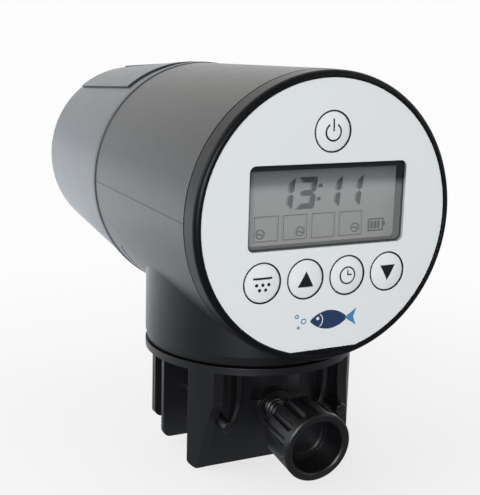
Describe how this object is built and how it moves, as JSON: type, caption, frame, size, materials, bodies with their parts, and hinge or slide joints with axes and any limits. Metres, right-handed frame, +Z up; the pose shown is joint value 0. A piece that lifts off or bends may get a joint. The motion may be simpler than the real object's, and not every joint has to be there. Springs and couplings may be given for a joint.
{
  "type": "automatic fish feeder",
  "caption": "Round clip-on fish feeder: keypad and display face on a horizontal barrel, turning food drum with a sliding hatch behind, swivel rim clamp with screw below.",
  "frame": {"origin": "middle of the rim slot at rest, on the underside of the clamp disc that bears on the rim's top edge", "axes": "+Z up; +Y from the keypad face towards the food drum, along the barrel; +X to the right of someone facing the keypad"},
  "size_m": [0.07, 0.1364, 0.1037],
  "materials": {
    "housing_black": "fine satin, injection moulded",
    "drum_black": "fine satin, injection moulded",
    "clamp_black": "fine satin, injection moulded",
    "face_white": "smooth printed film",
    "key_white": "smooth, slightly domed",
    "window_clear": "clear polished",
    "lcd_grey": "reflective display glass",
    "inner_black": "plain moulded",
    "contact_rubber": "matte",
    "board_green": "solder mask",
    "steel": "zinc plated",
    "brass": "turned",
    "lead_red": "plastic insulation",
    "cell_wrap": "printed wrap",
    "gear_white": "acetal"
  },
  "bodies": {
    "bracket": {"clamp_bracket": "clamp_black", "swivel_washer": "steel", "swivel_screw": "steel"},
    "head": {"front_bezel": "housing_black", "face_overlay": "face_white", "display_window": "window_clear", "lcd_frame": "inner_black", "lcd_panel": "lcd_grey", "zebra_strip": "contact_rubber", "control_board": "board_green", "controller_chip": "inner_black", "tact_switches": "inner_black", "board_screws": "steel", "upper_shell": "housing_black", "lower_shell": "housing_black", "battery_tray": "inner_black", "batteries": "cell_wrap", "battery_contacts": "steel", "contact_springs": "steel", "motor": "steel", "motor_leads": "lead_red", "gear_axles": "steel", "gear_plate_front": "inner_black", "gear_plate_rear": "inner_black", "gearbox_posts": "brass", "gearbox_screws": "steel", "output_bush": "gear_white"},
    "power": {"key_power": "key_white"},
    "manual": {"key_manual": "key_white"},
    "up": {"key_up": "key_white"},
    "set": {"key_set": "key_white"},
    "down": {"key_down": "key_white"},
    "cell_lid": {"battery_cover": "housing_black"},
    "pinion": {"motor_pinion": "brass"},
    "first": {"first_gear": "gear_white"},
    "second": {"second_gear": "gear_white"},
    "spindle": {"output_spindle": "gear_white"},
    "drum": {"drum_lid": "drum_black", "drum_body": "drum_black"},
    "hatch": {"food_door": "drum_black"},
    "press": {"pressure_plate": "clamp_black", "guide_pins": "clamp_black"},
    "screw": {"clamp_screw": "clamp_black", "clamp_knob": "clamp_black", "screw_clip": "steel"}
  },
  "joints": [
    {"name": "swivel", "type": "hinge", "parent": "bracket", "child": "head", "pos_m": [0, -0.0051, 0], "axis": [0, 0, 1], "range_deg": [-90, 90]},
    {"name": "drum_spin", "type": "hinge", "parent": "head", "child": "spindle", "pos_m": [0, 0.02, 0.042], "axis": [0, 1, 0], "continuous": true},
    {"name": "drum_pull", "type": "slide", "parent": "spindle", "child": "drum", "axis": [0, 1, 0], "range_m": [0, 0.02]},
    {"name": "hatch_turn", "type": "hinge", "parent": "drum", "child": "hatch", "pos_m": [0, 0.06, 0.042], "axis": [0, 1, 0], "range_deg": [0, 40]},
    {"name": "second_spin", "type": "hinge", "parent": "head", "child": "second", "pos_m": [-0.01175, 0.0125, 0.03772], "axis": [0, 1, 0], "continuous": true},
    {"name": "first_spin", "type": "hinge", "parent": "head", "child": "first", "pos_m": [-0.0055, 0.0095, 0.0269], "axis": [0, 1, 0], "continuous": true},
    {"name": "pinion_spin", "type": "hinge", "parent": "head", "child": "pinion", "pos_m": [0.00681, 0.0085, 0.02907], "axis": [0, 1, 0], "continuous": true},
    {"name": "power_press", "type": "slide", "parent": "head", "child": "power", "axis": [0, 1, 0], "range_m": [0, 0.0004], "stiffness_N_per_m": 1500, "springref_m": -0.0003},
    {"name": "manual_press", "type": "slide", "parent": "head", "child": "manual", "axis": [0, 1, 0], "range_m": [0, 0.0004], "stiffness_N_per_m": 1500, "springref_m": -0.0003},
    {"name": "up_press", "type": "slide", "parent": "head", "child": "up", "axis": [0, 1, 0], "range_m": [0, 0.0004], "stiffness_N_per_m": 1500, "springref_m": -0.0003},
    {"name": "set_press", "type": "slide", "parent": "head", "child": "set", "axis": [0, 1, 0], "range_m": [0, 0.0004], "stiffness_N_per_m": 1500, "springref_m": -0.0003},
    {"name": "down_press", "type": "slide", "parent": "head", "child": "down", "axis": [0, 1, 0], "range_m": [0, 0.0004], "stiffness_N_per_m": 1500, "springref_m": -0.0003},
    {"name": "cell_lid_lift", "type": "slide", "parent": "head", "child": "cell_lid", "axis": [0.809, 0, 0.5878], "range_m": [0, 0.02]},
    {"name": "press_slide", "type": "slide", "parent": "bracket", "child": "press", "axis": [0, 0.9945, 0.1045], "range_m": [-0.0104, 0.0041]},
    {"name": "screw_turn", "type": "hinge", "parent": "press", "child": "screw", "pos_m": [0, -0.0447, -0.01584], "axis": [0, 0.9945, 0.1045], "range_deg": [-2497, 985]}
  ],
  "couplings": [
    {"joint": "second_spin", "follows": "drum_spin", "ratio": -4},
    {"joint": "first_spin", "follows": "drum_spin", "ratio": 16},
    {"joint": "pinion_spin", "follows": "drum_spin", "ratio": -64},
    {"joint": "screw_turn", "follows": "press_slide", "rad_per_m": 4188.8}
  ]
}
